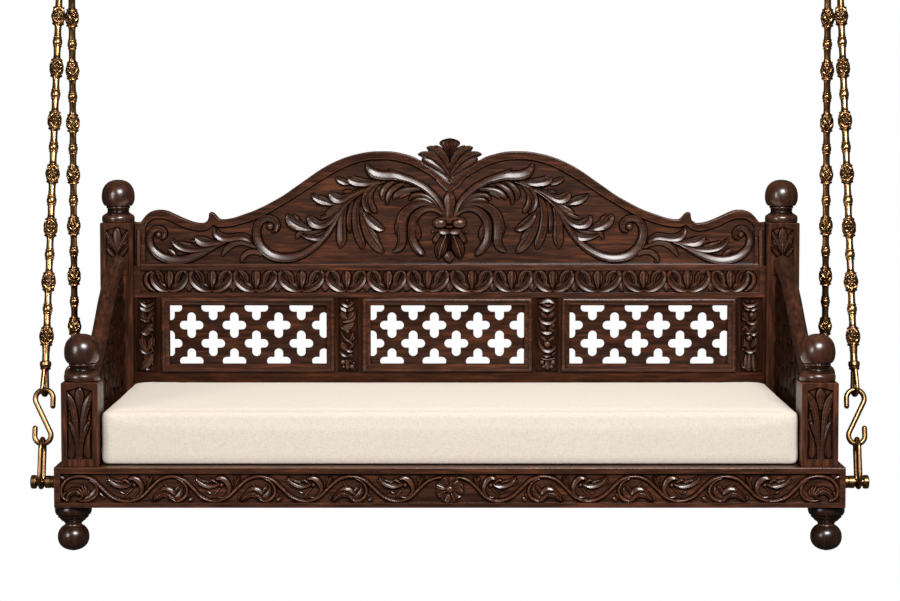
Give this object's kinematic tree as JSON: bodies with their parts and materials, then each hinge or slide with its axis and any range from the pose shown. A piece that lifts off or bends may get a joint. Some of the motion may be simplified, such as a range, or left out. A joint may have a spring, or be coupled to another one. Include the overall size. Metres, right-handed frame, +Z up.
{
  "type": "jhoola swing",
  "caption": "Carved hardwood swing bench with turned ball finials, pierced back panels, a thick seat cushion and brass bead chains that hang it from ceiling brackets.",
  "frame": {"origin": "on the ceiling plane, midway between the two ceiling plates and over the line of the hanger pins", "axes": "+X across the swing, +Y from its front to its back, +Z up; the whole swing hangs below the origin"},
  "size_m": [2.1116, 0.719, 1.525],
  "materials": {
    "dark_wood": "gloss",
    "deck_wood": "satin",
    "antique_brass": "satin",
    "steel": "satin",
    "cushion_linen": "matte"
  },
  "bodies": {
    "ceiling": {"left_ceiling_bracket": "antique_brass", "right_ceiling_bracket": "antique_brass", "hanger_pins": "antique_brass", "hanger_nuts": "steel", "eye_spacers": "antique_brass"},
    "swing": {"back_bottom_rail": "dark_wood", "back_rail": "dark_wood", "centre_jali_panel": "dark_wood", "centre_moulding_frame": "dark_wood", "chain_lower_eyes": "antique_brass", "chain_upper_eyes": "antique_brass", "crest_board": "dark_wood", "crest_palmette": "dark_wood", "cross_bearers": "deck_wood", "deck_cleats": "deck_wood", "deck_screws": "steel", "end_boards": "deck_wood", "frieze_rail": "dark_wood", "front_feet": "dark_wood", "front_finials": "dark_wood", "front_rail": "dark_wood", "hanging_pins": "antique_brass", "joint_pegs": "deck_wood", "left_arm": "dark_wood", "left_arm_panel": "dark_wood", "left_end_stile": "dark_wood", "left_front_chain_barrels": "antique_brass", "left_front_chain_rods": "antique_brass", "left_front_post": "dark_wood", "left_jali_panel": "dark_wood", "left_mid_stile": "dark_wood", "left_moulding_frame": "dark_wood", "left_rear_chain_barrels": "antique_brass", "left_rear_chain_rods": "antique_brass", "left_rear_post": "dark_wood", "left_side_rail": "dark_wood", "oval_links": "antique_brass", "pin_collars": "antique_brass", "pin_nuts": "steel", "pin_washers": "steel", "rear_feet": "dark_wood", "rear_finials": "dark_wood", "right_arm": "dark_wood", "right_arm_panel": "dark_wood", "right_end_stile": "dark_wood", "right_front_chain_barrels": "antique_brass", "right_front_chain_rods": "antique_brass", "right_front_post": "dark_wood", "right_jali_panel": "dark_wood", "right_mid_stile": "dark_wood", "right_moulding_frame": "dark_wood", "right_rear_chain_barrels": "antique_brass", "right_rear_chain_rods": "antique_brass", "right_rear_post": "dark_wood", "right_side_rail": "dark_wood", "s_hooks": "antique_brass", "seat_boards": "deck_wood"},
    "cushion": {"seat_cushion": "cushion_linen"}
  },
  "joints": [
    {"name": "swing_hinge", "type": "hinge", "parent": "ceiling", "child": "swing", "pos_m": [0, 0, -0.055], "axis": [1, 0, 0], "range_deg": [-22, 22]},
    {"name": "cushion_lift", "type": "slide", "parent": "swing", "child": "cushion", "axis": [0, 0, 1], "range_m": [0, 0.35]}
  ]
}
